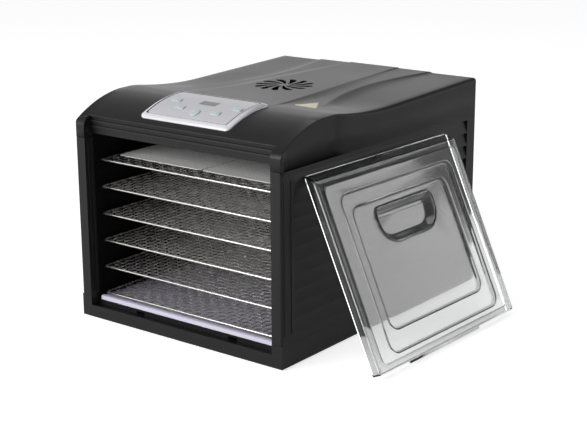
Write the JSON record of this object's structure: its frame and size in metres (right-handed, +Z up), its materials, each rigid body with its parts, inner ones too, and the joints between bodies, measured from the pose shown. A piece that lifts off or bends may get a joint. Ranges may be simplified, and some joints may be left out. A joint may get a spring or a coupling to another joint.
{
  "type": "food dehydrator",
  "caption": "Countertop food dehydrator with sliding wire trays, a rear fan and heater, a roof control panel and a clear lift-off door leaning on its side.",
  "frame": {"origin": "on the floor under the middle of the housing", "axes": "+Z up, front towards -Y, +X to the right seen from the front"},
  "size_m": [0.4683, 0.455, 0.3078],
  "materials": {
    "black_plastic": "fine texture",
    "black_rubber": "matte",
    "zinc_screw": "zinc plated",
    "circuit_board": "solder mask",
    "silver_plastic": "satin silver paint",
    "fascia_film": "satin film",
    "display_smoke": "smoked",
    "button_plastic": "satin",
    "blank_label": "printed film",
    "chamber_plastic": "matte",
    "galvanised_sheet": "galvanised",
    "motor_steel": "bare",
    "fan_aluminium": "stamped",
    "heater_mica": "mica",
    "heater_wire": "oxidised",
    "drip_tray_plastic": "satin",
    "steel_wire": "bright wire",
    "liner_sheet": "satin sheet",
    "clear_plastic": "clear moulded"
  },
  "bodies": {
    "root": {"base_pan": "black_plastic", "foot_front_left": "black_rubber", "foot_front_right": "black_rubber", "foot_rear_left": "black_rubber", "foot_rear_right": "black_rubber", "case_screws": "zinc_screw", "front_post_left": "black_plastic", "front_post_right": "black_plastic", "side_panel_left": "black_plastic", "side_panel_right": "black_plastic", "rear_panel": "black_plastic", "cord_gland": "black_rubber", "top_cover": "black_plastic", "control_board": "circuit_board", "control_bezel": "silver_plastic", "control_fascia": "fascia_film", "display_window": "display_smoke", "blank_label": "blank_label", "inner_wall_left": "chamber_plastic", "inner_wall_right": "chamber_plastic", "chamber_floor": "chamber_plastic", "chamber_ceiling": "chamber_plastic", "rear_baffle": "chamber_plastic", "fan_shroud": "galvanised_sheet", "fan_motor": "motor_steel", "motor_bracket": "galvanised_sheet", "heater_frame": "heater_mica", "heating_coil": "heater_wire", "thermostat": "chamber_plastic"},
    "fan": {"fan_impeller": "fan_aluminium", "motor_shaft": "motor_steel"},
    "drip_tray": {"drip_tray": "drip_tray_plastic"},
    "door": {"door_panel": "clear_plastic"},
    "tray_1": {"tray_frame_1": "steel_wire", "tray_mesh_1": "steel_wire"},
    "tray_2": {"tray_frame_2": "steel_wire", "tray_mesh_2": "steel_wire"},
    "tray_3": {"tray_frame_3": "steel_wire", "tray_mesh_3": "steel_wire"},
    "tray_4": {"tray_frame_4": "steel_wire", "tray_mesh_4": "steel_wire"},
    "tray_5": {"tray_frame_5": "steel_wire", "tray_mesh_5": "steel_wire"},
    "tray_6": {"tray_frame_6": "steel_wire", "tray_mesh_6": "steel_wire", "liner_sheet_left": "liner_sheet", "liner_sheet_right": "liner_sheet"},
    "mode_button": {"mode_button": "button_plastic"},
    "minus_button": {"minus_button": "button_plastic"},
    "plus_button": {"plus_button": "button_plastic"},
    "start_button": {"start_button": "button_plastic"},
    "power_button": {"power_button": "button_plastic"}
  },
  "joints": [
    {"name": "tray_1_slide", "type": "slide", "parent": "root", "child": "tray_1", "axis": [0, -1, 0], "range_m": [0, 0.355]},
    {"name": "tray_2_slide", "type": "slide", "parent": "root", "child": "tray_2", "axis": [0, -1, 0], "range_m": [0, 0.355]},
    {"name": "tray_3_slide", "type": "slide", "parent": "root", "child": "tray_3", "axis": [0, -1, 0], "range_m": [0, 0.355]},
    {"name": "tray_4_slide", "type": "slide", "parent": "root", "child": "tray_4", "axis": [0, -1, 0], "range_m": [0, 0.355]},
    {"name": "tray_5_slide", "type": "slide", "parent": "root", "child": "tray_5", "axis": [0, -1, 0], "range_m": [0, 0.355]},
    {"name": "tray_6_slide", "type": "slide", "parent": "root", "child": "tray_6", "axis": [0, -1, 0], "range_m": [0, 0.355]},
    {"name": "drip_tray_slide", "type": "slide", "parent": "root", "child": "drip_tray", "axis": [0, -1, 0], "range_m": [0, 0.355]},
    {"name": "door_lift", "type": "slide", "parent": "root", "child": "door", "axis": [0.5, 0, 0.866], "range_m": [0, 0.32]},
    {"name": "fan_spin", "type": "hinge", "parent": "root", "child": "fan", "pos_m": [0, 0.2, 0.1425], "axis": [0, 1, 0], "continuous": true},
    {"name": "mode_button_press", "type": "slide", "parent": "root", "child": "mode_button", "axis": [0, 0.2093, -0.9779], "range_m": [0, 0.001], "stiffness_N_per_m": 400},
    {"name": "minus_button_press", "type": "slide", "parent": "root", "child": "minus_button", "axis": [0, 0.3023, -0.9532], "range_m": [0, 0.001], "stiffness_N_per_m": 400},
    {"name": "plus_button_press", "type": "slide", "parent": "root", "child": "plus_button", "axis": [0, 0.314, -0.9494], "range_m": [0, 0.001], "stiffness_N_per_m": 400},
    {"name": "start_button_press", "type": "slide", "parent": "root", "child": "start_button", "axis": [0, 0.2209, -0.9753], "range_m": [0, 0.001], "stiffness_N_per_m": 400},
    {"name": "power_button_press", "type": "slide", "parent": "root", "child": "power_button", "axis": [0, 0.343, -0.9393], "range_m": [0, 0.001], "stiffness_N_per_m": 400}
  ]
}
